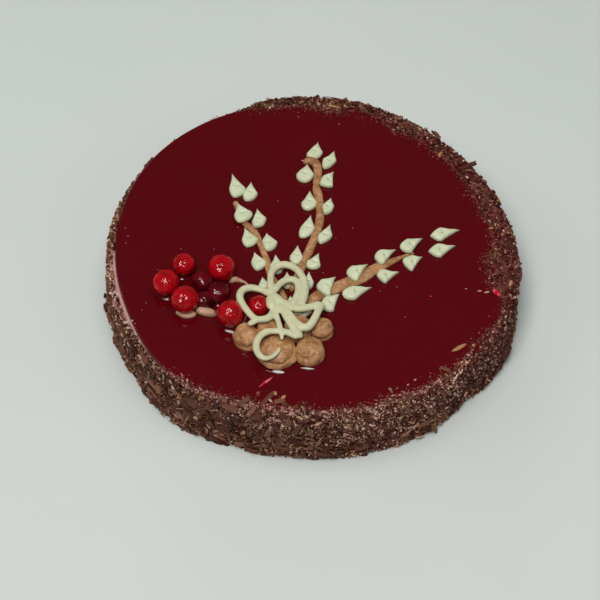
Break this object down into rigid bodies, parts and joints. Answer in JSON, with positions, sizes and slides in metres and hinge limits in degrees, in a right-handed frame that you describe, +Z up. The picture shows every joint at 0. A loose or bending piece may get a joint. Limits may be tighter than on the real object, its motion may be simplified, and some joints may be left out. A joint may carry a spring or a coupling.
{
  "type": "lingonberry cake",
  "caption": "Whole round cake with a dark red jelly glaze, a coat of chocolate crumbs, red berries, piped leaves and branches, cocoa-cream dollops and a looped lattice.",
  "frame": {"origin": "middle of the cake's flat underside", "axes": "+Z up; the front of the cake is towards -Y, with +X to the right when it is seen from the front"},
  "size_m": [0.2057, 0.1981, 0.0476],
  "materials": {
    "chocolate_crumb_coat": "dark chocolate flakes and cake crumbs pressed into cream, rough, matt with a few waxy flat faces",
    "berry_cream": "pinkish whipped berry cream, soft and matt, as a thin band under the glaze",
    "jelly_glaze": "dark red mirror jelly, wet gloss, with a few tiny pale specks",
    "cocoa_cream": "light cocoa butter cream, piped, satin, with soft ridges",
    "white_cream": "pale, slightly green white-chocolate cream, piped, satin",
    "red_berry": "bright red berries under a film of clear jelly, wet gloss",
    "dark_berry": "very dark red berries soaked in jelly, wet gloss"
  },
  "bodies": {
    "root": {"berry_1": "red_berry", "berry_2": "red_berry", "berry_3": "red_berry", "berry_4": "red_berry", "berry_5": "red_berry", "berry_6": "red_berry", "cake": "chocolate_crumb_coat", "cream_layer": "berry_cream", "dab_back": "cocoa_cream", "dab_front": "cocoa_cream", "dab_under_berry": "cocoa_cream", "dark_berry_1": "dark_berry", "dark_berry_2": "dark_berry", "dark_berry_3": "dark_berry", "dollop_1": "cocoa_cream", "dollop_2": "cocoa_cream", "dollop_3": "cocoa_cream", "dollop_4": "cocoa_cream", "dollop_5": "cocoa_cream", "dollop_6": "cocoa_cream", "glaze": "jelly_glaze", "lattice": "white_cream", "leaf_a01": "white_cream", "leaf_a02": "white_cream", "leaf_a03": "white_cream", "leaf_a04": "white_cream", "leaf_a05": "white_cream", "leaf_a06": "white_cream", "leaf_a07": "white_cream", "leaf_a08": "white_cream", "leaf_a09": "white_cream", "leaf_a10": "white_cream", "leaf_b01": "white_cream", "leaf_b02": "white_cream", "leaf_b03": "white_cream", "leaf_b04": "white_cream", "leaf_b05": "white_cream", "leaf_b06": "white_cream", "leaf_b07": "white_cream", "leaf_b08": "white_cream", "leaf_b09": "white_cream", "leaf_b10": "white_cream", "leaf_b11": "white_cream", "leaf_c01": "white_cream", "leaf_c02": "white_cream", "leaf_c03": "white_cream", "leaf_c04": "white_cream", "leaf_c05": "white_cream", "leaf_c06": "white_cream", "leaf_c07": "white_cream", "leaf_c08": "white_cream", "leaf_c09": "white_cream", "leaf_c10": "white_cream", "leaf_d01": "white_cream", "leaf_d02": "white_cream", "stem_left": "cocoa_cream", "stem_middle": "cocoa_cream", "stem_right": "cocoa_cream"}
  },
  "joints": []
}
